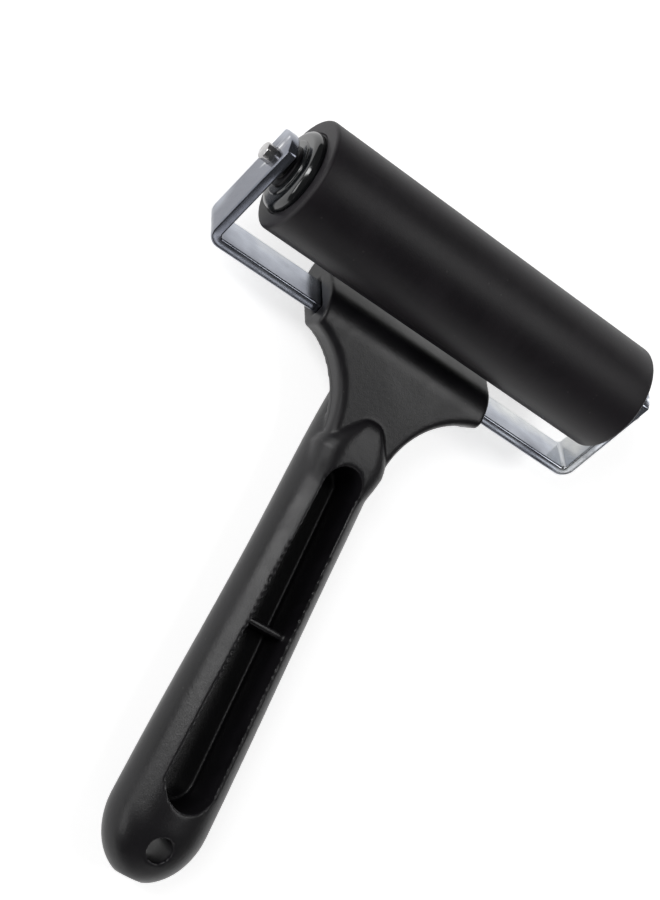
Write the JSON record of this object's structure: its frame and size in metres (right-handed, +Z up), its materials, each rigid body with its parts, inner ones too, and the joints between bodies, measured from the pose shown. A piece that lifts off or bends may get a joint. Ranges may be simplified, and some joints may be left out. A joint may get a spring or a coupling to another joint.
{
  "type": "rubber brayer",
  "caption": "Hand roller for spreading printing ink: a rubber-covered roller turns on an axle in a bent flat-steel fork, held by a moulded grip with a hollow side.",
  "frame": {"origin": "on the table, below the middle of the bounding box, with the tool lying on its back", "axes": "+X along the roller, +Y from the grip towards the roller, +Z up from the table, out of the grip's hollow side"},
  "size_m": [0.1186, 0.1662, 0.0406],
  "materials": {
    "handle": "satin black moulded plastic",
    "frame_steel": "bright zinc-plated strip",
    "axle_steel": "smooth drawn rod",
    "rubber": "ground soft black rubber",
    "core": "matt black tube",
    "end_cap": "glossy black moulded plastic",
    "bush": "smooth black plastic"
  },
  "bodies": {
    "frame": {"frame_strip": "frame_steel", "handle": "handle", "axle": "axle_steel"},
    "roller": {"rubber_sleeve": "rubber", "core_tube": "core", "left_end_cap": "end_cap", "right_end_cap": "end_cap", "left_bush": "bush", "right_bush": "bush"}
  },
  "joints": [
    {"name": "roller_spin", "type": "hinge", "parent": "frame", "child": "roller", "pos_m": [0, 0.06907, 0.0266], "axis": [1, 0, 0], "continuous": true}
  ]
}
